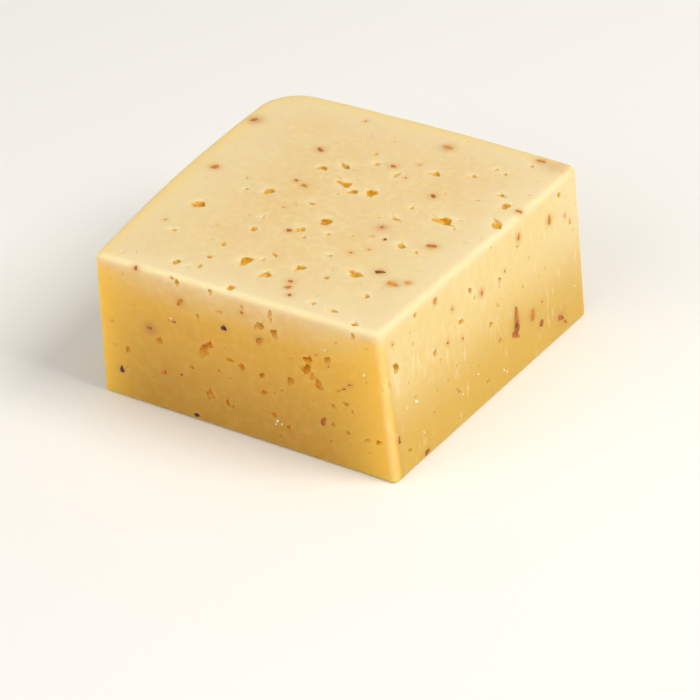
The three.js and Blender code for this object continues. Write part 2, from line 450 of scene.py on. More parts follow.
FRONT_EYES = [
    (36, 26, 5, 3, 70), (38, 29, 4, 2, 60), (49, 25, 2.8, 2.2, 0), (45, 26, 2.4, 1.6, 0),
    (66, 25, 3.4, 2.6, 50), (73, 34, 4, 3.2, 80), (72, 31, 4, 3, 0), (74, 29, 3, 2, 30),
    (76, 27, 4.5, 2.4, -60), (80, 36, 5, 2, 80), (61, 46, 5, 1.4, 90), (62, 40, 4, 2.4, 90),
    (57, 41, 4.5, 2.6, 40), (43, 42, 2.4, 1.4, 0), (35, 38, 3, 1.2, 100), (20, 25, 3.2, 2.2, 50),
    (8, 18, 3, 2, 70), (37, 11, 4, 3, 70), (43, 10, 3.4, 2, 100), (45, 9, 2.6, 1.2, 90),
    (56, 18, 2.6, 2, 30), (59, 11, 2.6, 2, 0), (64, 8, 3, 2, 90), (56, 24, 2.4, 1.4, 40),
    (85, 23, 2.8, 1.4, 0), (87, 21, 2.6, 1, -60), (83, 27, 4, 1, 20), (95, 13, 2.4, 2, 0),
    (26, 49, 3, 1.4, 0), (28, 48, 3.4, 1.6, 90), (40, 48, 2.6, 1.6, 70), (26, 6, 2.4, 1.2, 0),
    (31, 19, 1.8, 1.4, 0), (67, 33, 1.6, 1.2, 0), (90, 47, 3, 1.4, 90),
]
RIGHT_EYES = [
    (6, 36, 4.5, 3, -50), (2, 32, 4, 1.4, 90), (26, 30, 3.8, 2.4, 90), (41, 33, 3.6, 2.2, -35),
    (47, 40, 4, 1.8, -40), (49, 37, 2.6, 1.6, -40), (63, 35, 4, 2, 90), (56, 24, 2.8, 2.2, 20),
    (60, 23, 4, 0.8, -20), (52, 7, 2.8, 1.6, -35), (8, 7, 2.6, 1.6, -10), (36, 12, 4.5, 1.4, -45),
    (29, 46, 3.4, 2, 70), (99, 46, 2.8, 2.2, 90), (14, 22, 2.2, 1.4, 0), (18, 47, 2.8, 2, 20),
    (31, 18, 2.6, 1.4, 60), (22, 12, 2, 1.4, 0), (104, 35, 2.4, 1.4, 90), (70, 13, 5, 1.2, -50),
]
print(f"{len(TOP_EYES) + len(FRONT_EYES) + len(RIGHT_EYES)} eyes set by hand")

# %% Rough lobes to build an eye from
LOBE_KINDS = 7
LOBE_ROUGHNESS = 0.6


def rough_lobe(kind):
    """An angular lump of radius about 1: an icosphere thrown about, hulled, barely softened."""
    bpy.ops.object.select_all(action="DESELECT")
    bpy.ops.mesh.primitive_ico_sphere_add(subdivisions=1, radius=1)
    lobe = bpy.context.object
    bpy.ops.object.mode_set(mode="EDIT")
    bpy.ops.mesh.select_all(action="SELECT")
    bpy.ops.transform.vertex_random(offset=LOBE_ROUGHNESS, seed=kind + 1)
    bpy.ops.mesh.convex_hull()
    bpy.ops.mesh.select_all(action="SELECT")
    bpy.ops.mesh.subdivide(number_cuts=1, smoothness=0.15)
    bpy.ops.object.mode_set(mode="OBJECT")
    mesh = lobe.data
    bpy.data.objects.remove(lobe)
    return mesh


lobes = [rough_lobe(kind) for kind in range(LOBE_KINDS)]
print(f"{LOBE_KINDS} lobes of about {len(lobes[0].polygons)} faces")


def placed_copy(mesh, side, across, up, out, size, turn, tilt=0.0):
    """A copy of a mesh, sized in mm, turned on the face and set at its place on a side."""
    place = on_side(side, across, up) @ Matrix.Translation((0, 0, out * MM))
    turned = Matrix.Rotation(math.radians(turn), 4, "Z") @ Matrix.Rotation(tilt, 4, "X")
    copy = mesh.copy()
    copy.transform(place @ turned @ Matrix.Diagonal((*(Vector(size) * MM), 1)))
    made = bpy.data.objects.new("copy", copy)
    bpy.context.scene.collection.objects.link(made)
    return made


def join(pieces, name):
    """Joins objects into one, with the given name."""
    bpy.ops.object.select_all(action="DESELECT")
    for piece in pieces:
        piece.select_set(True)
    bpy.context.view_layer.objects.active = pieces[0]
    bpy.ops.object.join()
    joined = bpy.context.object
    joined.name = name
    return joined


# %% [markdown]
# Small eyes fill in between the large ones. A place is drawn at random, and dropped if it falls
# too near one that is taken, so that the scatter looks even without being regular.

# %% Scatter small eyes
SMALL_EYES = {"top": 60, "front": 34, "right": 34, "rear": 16, "left": 16}
SMALL_EYE_LENGTHS = (0.7, 2.4, 1.0)  # the shortest, the longest and the most usual, in mm
SCATTER_GAP = 3.5
EDGE_GAP = 2.5

chance = random.Random(11)


def scatter(side, count, taken, sizes, gap):
    """Draws places for marks on a side, away from the ones that are taken."""
    across_limit, up_limit = side_size(side)
    marks = []
    while len(marks) < count:
        spot = (chance.uniform(EDGE_GAP, across_limit - EDGE_GAP),
                chance.uniform(EDGE_GAP, up_limit - EDGE_GAP))
        if all(math.dist(spot, mark[:2]) > gap for mark in taken + marks):
            long = chance.triangular(*sizes)
            marks.append((*spot, long, long * chance.uniform(0.35, 0.8), chance.uniform(0, 180)))
    return marks


eyes = {"top": TOP_EYES, "front": FRONT_EYES, "right": RIGHT_EYES, "rear": [], "left": []}
for side, count in SMALL_EYES.items():
    eyes[side] = eyes[side] + scatter(
        side, count, eyes[side], SMALL_EYE_LENGTHS, SCATTER_GAP)
print(f"{sum(len(marks) for marks in eyes.values())} eyes in all")

# %% [markdown]
# The walls of the large eyes are torn as well: after the remesh a Displace modifier pushes them
# in and out by a cloudy pattern. That needs fine faces, but keeping them all would make the block
# too heavy, so a Decimate modifier then merges the ones that lie nearly flat.

# %% Melt the lobes of the large eyes together
EYE_GROWTH = 1.25  # a lobe narrows towards its rim, so it starts larger than the mouth it leaves
EYE_DEPTH = 0.6  # of an eye's width
LARGE_EYE = 2.5  # mm, past which an eye is made of several lobes
EYE_VOXEL = 0.28 * MM
TEAR = 0.5 * MM
TEAR_WIDTH = 0.8 * MM
CUTTER_SHARE = 0.45  # of the remeshed faces that are kept
EYE_PARTS = {  # along and aside; long and wide; how high it sits: all as shares of the eye's own
    "body": (0.08, 0, 0.58, 0.95, -0.05),
    "shoulder": (-0.24, 0.18, 0.56, 0.65, 0.12),
    "tail": (0.46, 0.24, 0.6, 0.24, 0.02),
    "far tail": (-0.5, -0.1, 0.5, 0.22, 0.03),
}


def eye_lobe(side, across, up, long, wide, turn, lift):
    """One lobe of an eye. The higher it sits, the more the knife takes and the flatter it is."""
    size = (long / 2 * EYE_GROWTH, wide / 2 * EYE_GROWTH, wide * EYE_DEPTH)
    return placed_copy(chance.choice(lobes), side, across, up, lift * wide, size, turn)


def large_eye(side, across, up, long, wide, turn):
    """The lobes of a large eye: a body, a shoulder and two tails, none quite in line."""
    angle = math.radians(turn)
    flip = chance.choice((-1, 1))
    made = []
    for along, aside, long_share, wide_share, lift in EYE_PARTS.values():
        x = along * long * chance.uniform(0.8, 1.1)
        y = flip * aside * wide * chance.uniform(0.5, 1.5)
        made.append(eye_lobe(
            side, across + x * math.cos(angle) - y * math.sin(angle),
            up + x * math.sin(angle) + y * math.cos(angle),
            long * long_share, wide * wide_share, turn + chance.uniform(-22, 22), lift))
    return made


large_lobes = []
small_lobes = []
for side, marks in eyes.items():
    for mark in marks:
        if mark[2] > LARGE_EYE:
            large_lobes += large_eye(side, *mark)
        else:
            small_lobes.append(eye_lobe(side, *mark, chance.uniform(-0.05, 0.25)))
large_cutter = join(large_lobes, "large_eye_cutter")
small_cutter = join(small_lobes, "small_eye_cutter")
apply_modifier(large_cutter, "REMESH", mode="VOXEL", voxel_size=EYE_VOXEL)
tears = bpy.data.textures.new("tears", "CLOUDS")
tears.noise_scale = TEAR_WIDTH
apply_modifier(large_cutter, "DISPLACE", texture=tears, strength=TEAR, texture_coords="LOCAL")
apply_modifier(large_cutter, "DECIMATE", ratio=CUTTER_SHARE)
print(f"cutters have {len(large_cutter.data.polygons)} and {len(small_cutter.data.polygons)} faces")

# %% [markdown]
# ## Flakes of spice
#
# The flakes are dried leaf and skin, orange-brown to nearly black, stirred in before pressing.
# The curd closed tightly round them and the knife goes through both, so they lie flush in the
# cut. A flake is a thin ragged shard, so it starts from a coarse icosphere that is thrown about
# and pressed flat. Its last number is how dark it is, from 0 to 1.

# %% The flakes listed: across, up, long, wide, turn, darkness
TOP_FLAKES = [
    (4.5, 60, 3.2, 2.6, 80, 0.35), (26, 84.5, 3.6, 1.6, -30, 0.5), (49, 86, 2.8, 1.6, -20, 0.45),
    (57, 104, 4, 1, -5, 0.2), (67, 76, 2.6, 1.6, -40, 0.65), (92, 80, 2.8, 1.4, 0, 0.4),
    (81, 50, 4, 2.2, 20, 0.45), (75.5, 30, 3.2, 2.2, 20, 0.75), (82, 26, 4, 2.4, -10, 0.15),
    (85.5, 28.5, 2, 1.6, 40, 0.05), (29, 64.5, 1.8, 1, -40, 0.4), (32.5, 63, 2.4, 1.6, -20, 0.35),
    (41.5, 38, 2, 1.6, 0, 0.5), (63, 35.5, 1.4, 1, 0, 0.45), (56.5, 13, 1.9, 1.5, 0, 0.45),
    (57.5, 10, 2.2, 1.4, 60, 0.4), (60, 6.5, 1.8, 1.2, -40, 0.5), (11, 37.5, 2, 1, 20, 0.1),
    (48, 46.5, 1.6, 1, 0, 0.15), (67.5, 47, 1, 0.8, 0, 0.8), (1, 91, 4, 1.6, 60, 0.45),
    (83, 110, 4, 1.2, 0, 0.4), (63.5, 52.5, 1.4, 1.8, 0, 0.35),
]
FRONT_FLAKES = [
    (29, 41.5, 4, 1.4, 60, 0.3), (17, 28.5, 2.4, 1.2, 0, 0.6), (26, 33.5, 2.2, 1, 20, 0.55),
    (44, 36.5, 2, 1.9, 0, 1.0), (56.5, 36, 3, 1.8, 60, 0.4), (36.5, 28, 2, 1.3, 20, 0.6),
    (5.5, 10, 2.6, 2, 90, 0.85), (21, 14, 2.4, 1.7, 50, 0.45), (27, 15, 1.1, 1, 0, 0.85),
    (31.5, 1.8, 2, 1.4, 20, 1.0), (76.5, 14.5, 3.4, 1.7, 80, 0.6), (13.5, 49, 1.8, 1.2, 80, 0.55),
    (87, 30, 2, 0.7, 10, 0.45), (85, 28, 1.2, 0.6, 30, 0.6), (51, 44, 1.2, 0.8, 0, 0.4),
]
RIGHT_FLAKES = [
    (70.5, 18, 8, 4, 85, 0.45), (70, 15.5, 5, 3.5, 60, 0.5), (69, 14, 4, 2.5, -35, 0.5),
    (79.5, 15.5, 4, 2, 90, 0.3), (84, 10, 3, 2.4, 60, 0.65), (95, 6.5, 3.4, 2.2, -30, 0.55),
    (97.5, 3.8, 3, 1.2, -45, 0.4), (92.5, 41, 3, 2, 80, 0.35), (75, 44, 2.2, 1.4, 70, 0.25),
    (53, 36.5, 2, 1.4, 90, 0.3), (3.5, 13, 2.4, 1.5, 80, 0.55), (17, 1.6, 3, 1.6, 20, 0.6),
    (33, 30, 1.6, 0.9, -20, 0.45), (28.5, 46, 2, 1.2, 60, 0.3), (60.5, 16.5, 1.4, 1.2, 0, 0.3),
]
SMALL_FLAKES = {"top": 7, "front": 6, "right": 6, "rear": 22, "left": 22}
LONGEST_ON_CUTS = 1.3
LONGEST_ON_MOULD_SIDES = 3.6
FLAKE_GAP = 2.5

flakes = {"top": TOP_FLAKES, "front": FRONT_FLAKES, "right": RIGHT_FLAKES, "rear": [], "left": []}
for side, count in SMALL_FLAKES.items():
    longest = LONGEST_ON_MOULD_SIDES if side in MOULD_SIDES else LONGEST_ON_CUTS
    marks = scatter(side, count, eyes[side] + flakes[side], (0.6, longest, 0.9), FLAKE_GAP)
    flakes[side] = flakes[side] + [(*mark, chance.uniform(0.15, 0.6)) for mark in marks]
print(f"{sum(len(marks) for marks in flakes.values())} flakes")

# %% Shards for the flakes
SHARD_KINDS = 6
FLAKE_THICKNESS = 0.5  # mm, from its middle to either side
FLAKE_SINK = 0.15  # mm that its middle lies under the surface


def shard(kind):
    """A ragged, angular chip of radius about 1 with few faces, as there are many of them."""
    bpy.ops.object.select_all(action="DESELECT")
    bpy.ops.mesh.primitive_ico_sphere_add(subdivisions=1, radius=1)
    piece = bpy.context.object
    bpy.ops.object.mode_set(mode="EDIT")
    bpy.ops.mesh.select_all(action="SELECT")
    bpy.ops.transform.vertex_random(offset=0.7, seed=kind + 21)
    bpy.ops.mesh.convex_hull()
    bpy.ops.object.mode_set(mode="OBJECT")
    mesh = piece.data
    bpy.data.objects.remove(piece)
    return mesh


shards = [shard(kind) for kind in range(SHARD_KINDS)]
flake_parts = []
for side, marks in flakes.items():
    for across, up, long, wide, turn, darkness in marks:
        kind = chance.choice(shards)
        tilt = chance.uniform(-0.2, 0.2)
        size = (long / 2, wide / 2, FLAKE_THICKNESS)
        flake = placed_copy(kind, side, across, up, -FLAKE_SINK, size, turn, tilt)
        tone = flake.data.attributes.new("tone", "FLOAT", "FACE")
        tone.data.foreach_set("value", [darkness] * len(flake.data.polygons))
        flake_parts.append(flake)
spice = join(flake_parts, "spice_flakes")

# %% [markdown]
# The knife that cuts the curd cuts the flakes in it too, so what stands out of the block is
# taken off. The tool is a copy of the whole block, a hair larger, and the flakes keep only what
# lies inside it. They end up standing proud by that hair, as the harder thing does in a cut.

# %% Trim the flakes to the block
PROUD = 1.001

knife = cheese.copy()
knife.data = cheese.data.copy()
bpy.context.scene.collection.objects.link(knife)
middle = (low + high) / 2
knife.data.transform(
    Matrix.Translation(middle) @ Matrix.Scale(PROUD, 4) @ Matrix.Translation(-middle))
whole_flakes = BVHTree.FromPolygons(
    [vertex.co.copy() for vertex in spice.data.vertices],
    [tuple(face.vertices) for face in spice.data.polygons])
whole_tones = [face.value for face in spice.data.attributes["tone"].data]
apply_modifier(spice, "BOOLEAN", object=knife, operation="INTERSECT", solver="MANIFOLD")
bpy.data.objects.remove(knife)
tones = [whole_tones[whole_flakes.find_nearest(vertex.co)[2]] for vertex in spice.data.vertices]
spice.data.attributes.remove(spice.data.attributes["tone"])
spice.data.attributes.new("darkness", "FLOAT", "POINT").data.foreach_set("value", tones)
print(f"flakes have {len(spice.data.polygons)} faces, darkness {min(tones)} to {max(tones)}")

# %% [markdown]
# The Boolean needs closed shapes that point outwards, which hulls and remeshed lumps are. The
# walls that it leaves are plain curd, like the rest, and are painted a deeper gold the deeper
# they lie, as painted shade.

# %% Cut the eyes
for tool in (large_cutter, small_cutter):
    apply_modifier(cheese, "BOOLEAN", object=tool, operation="DIFFERENCE", solver="MANIFOLD")
    bpy.data.objects.remove(tool)
make_active(cheese)
bpy.ops.object.shade_smooth_by_angle(angle=math.radians(38))
print(f"cheese has {len(cheese.data.polygons)} faces, "
      f"{sum(len(face.vertices) - 2 for face in cheese.data.polygons)} triangles")

# %% [markdown]
# ## Crumbs
#
# The knife pulls off a few grains of curd and leaves them on the cut, nearly white because they
# have dried. They are tiny, so one rough lobe is enough for each.

# %% Lay crumbs on the cuts
CRUMBS = {
    "front": [(92.5, 35, 1.6, 0.8, 60), (60, 9.3, 1.2, 0.9, 30), (61.5, 8.6, 0.9, 0.6, 80),
              (59.4, 8, 0.7, 0.6, 0), (79.5, 39.5, 1.2, 0.6, 80), (25, 34.5, 0.8, 0.5, 0)],
    "right": [(14, 20.5, 1.6, 1, -30), (61, 6, 1.6, 0.6, -45), (62.5, 4.8, 1.2, 0.6, -45),
              (38, 10, 1.4, 0.5, -40), (9, 21, 0.9, 0.6, 0), (15, 37.5, 1.0, 0.6, 20),
              (47, 12, 1.2, 0.5, -40), (104, 13, 0.9, 0.6, 0), (16, 9, 1.2, 0.5, -45)],
    "top": [(52, 66, 0.8, 0.5, 0), (34, 70, 0.9, 0.6, 20), (26, 3, 0.8, 0.6, 0)],
}
crumb_parts = []
for side, marks in CRUMBS.items():
    for across, up, long, wide, turn in marks:
        size = (long / 2, wide / 2, wide * 0.32)
        crumb_parts.append(
            placed_copy(chance.choice(lobes), side, across, up, wide * 0.02, size, turn))
crumbs = join(crumb_parts, "curd_crumbs")
crumbs.data.materials.clear()
print(f"{len(crumb_parts)} crumbs")

# %% [markdown]
# ## Numbers painted on the surface
#
# Some colour follows the shape rather than a pattern, so it is worked out once for each point
# and stored on the mesh, as a number from 0 to 1. Most of these numbers fall off with the depth
# under a side or with the distance from an edge, and both are quick to work out for all the
# points at once.

# %% Tools for painting
places = np.empty(len(cheese.data.vertices) * 3, dtype=np.float32)
cheese.data.vertices.foreach_get("co", places)
places = places.reshape(-1, 3)


def paint(name, values):
    """Stores one number for each point of the cheese."""
    layer = cheese.data.attributes.new(name, "FLOAT", "POINT")
    layer.data.foreach_set("value", np.clip(values, 0, 1).astype(np.float32))
    print(f"{name}: mean {float(np.mean(values)):.3f}")


def rise(values, start, end):
    """The smooth step for a whole row of numbers."""
    t = np.clip((values - start) / (end - start), 0, 1)
    return t * t * (3 - 2 * t)


def under_side(side):
    """How far each point lies under the flat plane between the corners of a side."""
    middle = sum((corners[key] for key in SIDES[side]), Vector()) / 4
    outward = on_side(side, *(length / 2 for length in side_size(side))).col[2]
    return (np.array(middle) - places) @ np.array(outward[:3])


def distance_to_edge(start, end):
    """How far each point is from the line between two corners."""
    line = np.array((end - start).normalized())
    away = places - np.array(start)
    return np.linalg.norm(away - np.outer(away @ line, line), axis=1)


# %% [markdown]
# Cut edges dry paler, and the same number carries a painted highlight where a rounded edge
# catches the light. The rim of the top and the rear end of the right side are paler too. The
# curd near the mould is riper and yellower. Towards the foot it is painted darker and more
# golden: painted shade. The front faces away from the main light and is painted deeper under its
# top edge as painted shade, with a painted glow where light comes through from a side. Hollows
# are painted a deeper gold with depth, as painted shade.

# %% Paint the surface numbers
# these edges are painted paler: partly they dry, partly it is a painted highlight where they catch
# the light
DRY_AND_LIT_EDGES = [
    ((False, False, True), (True, False, True)), ((True, False, True), (True, True, True)),
    ((True, False, True), (True, False, False)),
]
EDGE_REACH = 2.2 * MM  # how far the drying of an edge reaches
GLOW_REACH = 11 * MM  # how far light comes through from a side
MOULD_REACH = 4 * MM  # how deep the colour of the mould sides goes
CUT_REACH = 2 * MM  # how deep a point may lie and still belong to a cut
RIM_REACH = 16 * MM  # how far the rim reaches in from a side
RIM_OFF_TOP = 0.15  # how much of the rim shows on the upright sides
FRONT_TWIST = 1 * MM  # how far the twisted front lies under its flat plane
DEEPEST = 2 * MM  # a hollow this deep counts as 1

edge_dryness_and_highlight = sum(np.exp(-(distance_to_edge(corners[a], corners[b]) / EDGE_REACH) ** 2)
              for a, b in DRY_AND_LIT_EDGES)
paint("dry_edge_and_highlight", edge_dryness_and_highlight)
under = {side: np.maximum(under_side(side), 0) for side in SIDES}
under["front"] = np.maximum(under["front"] - FRONT_TWIST, 0)
into_corner = np.hypot(*(np.maximum(MOULD_CORNER - under[side], 0) for side in ("left", "rear")))
under_mould = np.maximum(MOULD_CORNER - into_corner, 0)
on_top = np.exp(-(under["top"] / CUT_REACH) ** 2)
on_front = np.exp(-(under["front"] / CUT_REACH) ** 2)
rim = np.exp(-np.sort(list(under.values()), axis=0)[1] / RIM_REACH)
right_end = np.exp(-under["rear"] / RIM_REACH) * (1 - on_top)
paint("rim", np.maximum(rim * (RIM_OFF_TOP + (1 - RIM_OFF_TOP) * on_top), right_end))
paint("mould_skin", np.exp(-under_mould / MOULD_REACH))
below_top = (high.z - places[:, 2]) / height
# painted shade: the front faces away from the main light and is painted deeper under its top edge
paint("painted_front_shade", on_front * rise(below_top, -0.02, 0.3))
# painted glow near the top and sides of the front, where light comes through
side_edge = np.minimum(under["left"], under["right"] * 0.6)
paint("painted_side_glow", on_front * np.exp(-side_edge / GLOW_REACH) * rise(below_top, 0, 0.12))
paint("knife_side", np.exp(-(under["right"] / CUT_REACH) ** 2) * (1 - on_top))
# painted shade: the sides are painted darker and more golden towards the foot
to_side = np.min([under_mould, under["right"], under["front"]], axis=0)
paint("foot", np.exp(-(to_side / CUT_REACH) ** 2) * rise(below_top, 0.1, 1))
hollow = [skin.find_nearest(Vector(place))[3] for place in places]
paint("hollow", np.array(hollow) / DEEPEST)

# %% [markdown]
# A flake stains the curd round it, and one just under the surface shows through as a brown
# shadow. The lip of a large eye gets a pale painted highlight on one side, where it would catch the
# light.

# %% Paint round the flakes and the eyes
SHADOWS = [
    ("front", 17, 28.5, 2.6, 0.5), ("front", 23, 12, 3, 0.2), ("front", 32, 31, 2.6, 0.2),
    ("right", 79.5, 15.5, 2.4, 0.25), ("right", 53, 36.5, 1.6, 0.15), ("right", 75, 44, 1.8, 0.15),
    ("right", 95, 6.5, 3, 0.25), ("top", 57, 104, 3, 0.2),
    ("top", 88, 109, 4, 0.3), ("top", 2, 91, 3, 0.3), ("top", 63.5, 52.5, 2.4, 0.25),
]
STAIN_REACH = 0.6  # mm past the flake
STAIN_STRENGTH = 0.75
LIP_HIGHLIGHT_REACH = 0.6  # mm past the eye
LIP_HIGHLIGHT_SHIFT = (-0.5, 0.4)  # mm across and up from the eye
LIP_HIGHLIGHT_STRENGTH = 0.4


def spots(name, marks):
    """Paints soft round spots: side, across, up, reach in mm, strength."""
    values = np.zeros(len(places))
    for side, across, up, reach, strength in marks:
        away = np.linalg.norm(places - np.array(on_side(side, across, up).translation), axis=1)
        values = np.maximum(values, strength * np.exp(-(away / (reach * MM)) ** 2))
    paint(name, values)


spots("flake_shadow", SHADOWS)
spots("stain", [
    (side, across, up, (long + wide) / 4 + STAIN_REACH, STAIN_STRENGTH)
    for side, marks in flakes.items() for across, up, long, wide, _, _ in marks])
# painted highlight on one side of each large eye's lip
spots("lip", [
    (side, across + LIP_HIGHLIGHT_SHIFT[0], up + LIP_HIGHLIGHT_SHIFT[1], (long + wide) / 4 + LIP_HIGHLIGHT_REACH, LIP_HIGHLIGHT_STRENGTH)
    for side, marks in eyes.items() for across, up, long, wide, _ in marks if long > LARGE_EYE])

# %% [markdown]
# ## Materials
#
# Colours are written as the sRGB hex values a colour picker shows, and one function turns them
# into the linear values that light is worked out in. Another adds a node with its settings
# and its links, so that a material reads as a short list. Two more put several nodes together:
# a pattern whose size is given in millimetres, and one colour laid over another.

# %% Tools for materials
def linear(hex_colour):
    """The linear red, green, blue and alpha of an sRGB hex colour."""
    shares = [int(hex_colour[i:i + 2], 16) / 255 for i in (1, 3, 5)]
    return [s / 12.92 if s <= 0.04045 else ((s + 0.055) / 1.055) ** 2.4 for s in shares] + [1]


def new_material(name):
    """A material that has only its shader and its output so far."""
    material = bpy.data.materials.new(name)
    material.use_nodes = True
    return material


def shader_of(material):
    """The shader at the end of a material."""
    return material.node_tree.nodes["Principled BSDF"]


def add_node(material, kind, sockets=None, **settings):
    """Adds a node with its settings. A socket takes a value, a hex colour or an output."""
    tree = material.node_tree
    made = tree.nodes.new(kind)
    for name, value in settings.items():
        setattr(made, name, value)
    for socket, value in (sockets or {}).items():
        if isinstance(value, bpy.types.NodeSocket):
            tree.links.new(value, made.inputs[socket])
        else:
            made.inputs[socket].default_value = linear(value) if isinstance(value, str) else value
    return made


def speckle(material, size_mm, stretch=(1, 1, 1), detail=2.0):
    """Noise in object space whose patches are about as wide as the size given, in mm."""
    place = add_node(material, "ShaderNodeTexCoord").outputs["Object"]
    scaled = add_node(material, "ShaderNodeMapping",
                      {"Vector": place, "Scale": [1 / (MM * size_mm * s) for s in stretch]})
    made = add_node(material, "ShaderNodeTexNoise",
                    {"Vector": scaled.outputs["Vector"], "Scale": 1.0, "Detail": detail})
    return made.outputs["Fac"]


def lay_over(material, colour, cover, share, start=0.0, end=1.0, strength=1.0, curve="SMOOTHSTEP"):
    """Lays a cover over a colour, from where the share starts to where it ends. The share is a
    pattern or the name of a painted number."""
    if isinstance(share, str):
        share = add_node(material, "ShaderNodeAttribute", attribute_name=share).outputs["Fac"]
    sockets = {"Value": share, "From Min": start, "From Max": end, "To Max": strength}
    covered = add_node(material, "ShaderNodeMapRange", sockets, interpolation_type=curve)
    sockets = {0: covered.outputs["Result"], 6: colour, 7: cover}
    return add_node(material, "ShaderNodeMix", sockets, data_type="RGBA").outputs[2]


# %% [markdown]
# ### Pressed curd, cut with a knife
#
# Semi-hard cheese is a wet protein gel full of fat droplets. Light goes several millimetres in
# and comes back warmer, so the shader is mostly subsurface scattering, with red reaching
# furthest. The knife leaves a soft waxy gloss. Fat and moisture make slow blotches a few
# centimetres wide, the curd grains a fine mottle of about 2 mm, and the blade pale smears of
# fat that run with its stroke.

# %% The shader of wet curd
CURD_SHARES = (1.0, 0.55, 0.18)  # how far green and blue light get, next to red


def wet_curd(material, colour, roughness, reach, bump_height, bump_distance):
    """Sets the shader that the block and its crumbs share."""
    shader = shader_of(material)
    links = material.node_tree.links
    links.new(colour, shader.inputs["Base Color"])
    links.new(roughness, shader.inputs["Roughness"])
    shader.inputs["IOR"].default_value = 1.45
    shader.inputs["Subsurface Weight"].default_value = 1.0
    shader.inputs["Subsurface Radius"].default_value = CURD_SHARES
    shader.inputs["Subsurface Scale"].default_value = reach
    bump = add_node(material, "ShaderNodeBump",
                    {"Height": bump_height, "Distance": bump_distance, "Strength": 1.0})
    links.new(bump.outputs["Normal"], shader.inputs["Normal"])


# %% Curd
CURD_REACH = 4.5 * MM  # how far red light gets
BLOTCH_MM = 30
MOTTLE_MM = 2.6
SMEAR_MM = 1.6
SMEAR_STRETCH = (8, 1, 4)  # on the right side, narrow across it and long up and down
PATCH_MM = 13  # how wide the patches are that have smears
GRAIN_MM = 0.7
GRAIN_DEPTH = 0.05 * MM
SMOOTH = {"interpolation_type": "SMOOTHSTEP"}


def smears_of_fat(material):
    """Where the blade left fat: narrow streaks, in patches, and only on the right side."""
    streaks = {"Value": speckle(material, SMEAR_MM, SMEAR_STRETCH),
               "From Min": 0.5, "From Max": 0.8, "To Max": 0.55}
    smears = add_node(material, "ShaderNodeMapRange", streaks, **SMOOTH).outputs["Result"]
    patches = {"Value": speckle(material, PATCH_MM), "From Min": 0.45, "From Max": 0.65}
    for share in (
            add_node(material, "ShaderNodeMapRange", patches, **SMOOTH).outputs["Result"],
            add_node(material, "ShaderNodeAttribute", attribute_name="knife_side").outputs["Fac"]):
        smears = add_node(material, "ShaderNodeMath", {0: smears, 1: share},
                          operation="MULTIPLY").outputs[0]
    return smears


def finish_curd(material):
    """The knife-cut surface, the mould sides and the walls of the eyes."""
    blotches = speckle(material, BLOTCH_MM, detail=3)
    colour = lay_over(material, "#e8cd92", "#e7c687", blotches, 0.36, 0.64)
    grains = {"Value": speckle(material, MOTTLE_MM, detail=4), "From Min": 0.4, "From Max": 0.7}
    mottle = add_node(material, "ShaderNodeMapRange", grains, **SMOOTH).outputs["Result"]
    colour = lay_over(material, colour, "#f6e8c0", mottle, strength=0.2)
    colour = lay_over(material, colour, "#eed686", "knife_side", strength=0.5)
    colour = lay_over(material, colour, "#ecdbae", "rim", curve="LINEAR")
    # painted highlight beside the lips of the large eyes
    colour = lay_over(material, colour, "#f6e8c4", "lip", curve="LINEAR")
    colour = lay_over(material, colour, "#efd083", "mould_skin", strength=0.75)
    # painted shade towards the foot of the sides
    colour = lay_over(material, colour, "#d5a931", "foot", strength=0.85)
    # painted shade on the front: deeper colours, darker still towards the foot
    tones = [lay_over(material, above, in_foot_shade, "foot", curve="LINEAR")
             for above, in_foot_shade in (("#e3b040", "#c0902a"), ("#e6b64c", "#c59738"))]
    front_in_shade = lay_over(material, *tones, mottle, curve="LINEAR")
    colour = lay_over(material, colour, front_in_shade, "painted_front_shade", curve="LINEAR")
    # painted glow where light comes through the front from a side
    colour = lay_over(material, colour, "#f8c948", "painted_side_glow", start=0.1, strength=0.8)
    colour = lay_over(material, colour, "#f6e7be", smears_of_fat(material), curve="LINEAR")
    # partly a dried edge, partly a painted highlight along the cut edges
    colour = lay_over(material, colour, "#f6e8c2", "dry_edge_and_highlight", start=0.1, strength=0.3)
    # painted shade: the walls of the eyes turn a deeper gold with depth, more orange on the shaded
    # front
    eye_wall_in_shade = lay_over(material, "#e2b012", "#e3a41a", "painted_front_shade", curve="LINEAR")
    hollow = add_node(material, "ShaderNodeAttribute", attribute_name="hollow").outputs["Fac"]
    depths = {"Value": hollow, "From Min": 0.04, "From Max": 0.45}
    deep = add_node(material, "ShaderNodeMapRange", depths, **SMOOTH).outputs["Result"]
    colour = lay_over(material, colour, eye_wall_in_shade, deep, curve="LINEAR")
    colour = lay_over(material, colour, "#e0a048", "stain", curve="LINEAR")
    colour = lay_over(material, colour, "#b5763c", "flake_shadow", curve="LINEAR")
    waxy_to_wet = {"Value": deep, "To Min": 0.46, "To Max": 0.3}
    roughness = add_node(material, "ShaderNodeMapRange", waxy_to_wet, **SMOOTH).outputs["Result"]
    grain = speckle(material, GRAIN_MM, detail=3)
    wet_curd(material, colour, roughness, CURD_REACH, grain, GRAIN_DEPTH)


curd = new_material("pressed_curd_cut_with_a_knife")
finish_curd(curd)
cheese.data.materials.clear()
cheese.data.materials.append(curd)
print(f"curd: red light gets {CURD_REACH / MM:.1f} mm into it")

# %% [markdown]
# ### Dried crumbs
#
# A crumb is the same curd, dried at its surface, so it is nearly white and quite matt.

# %% Crumbs
CRUMB_REACH = 0.2 * MM
CRUMB_MOTTLE_MM = 0.6
CRUMB_GRAIN_MM = 0.3

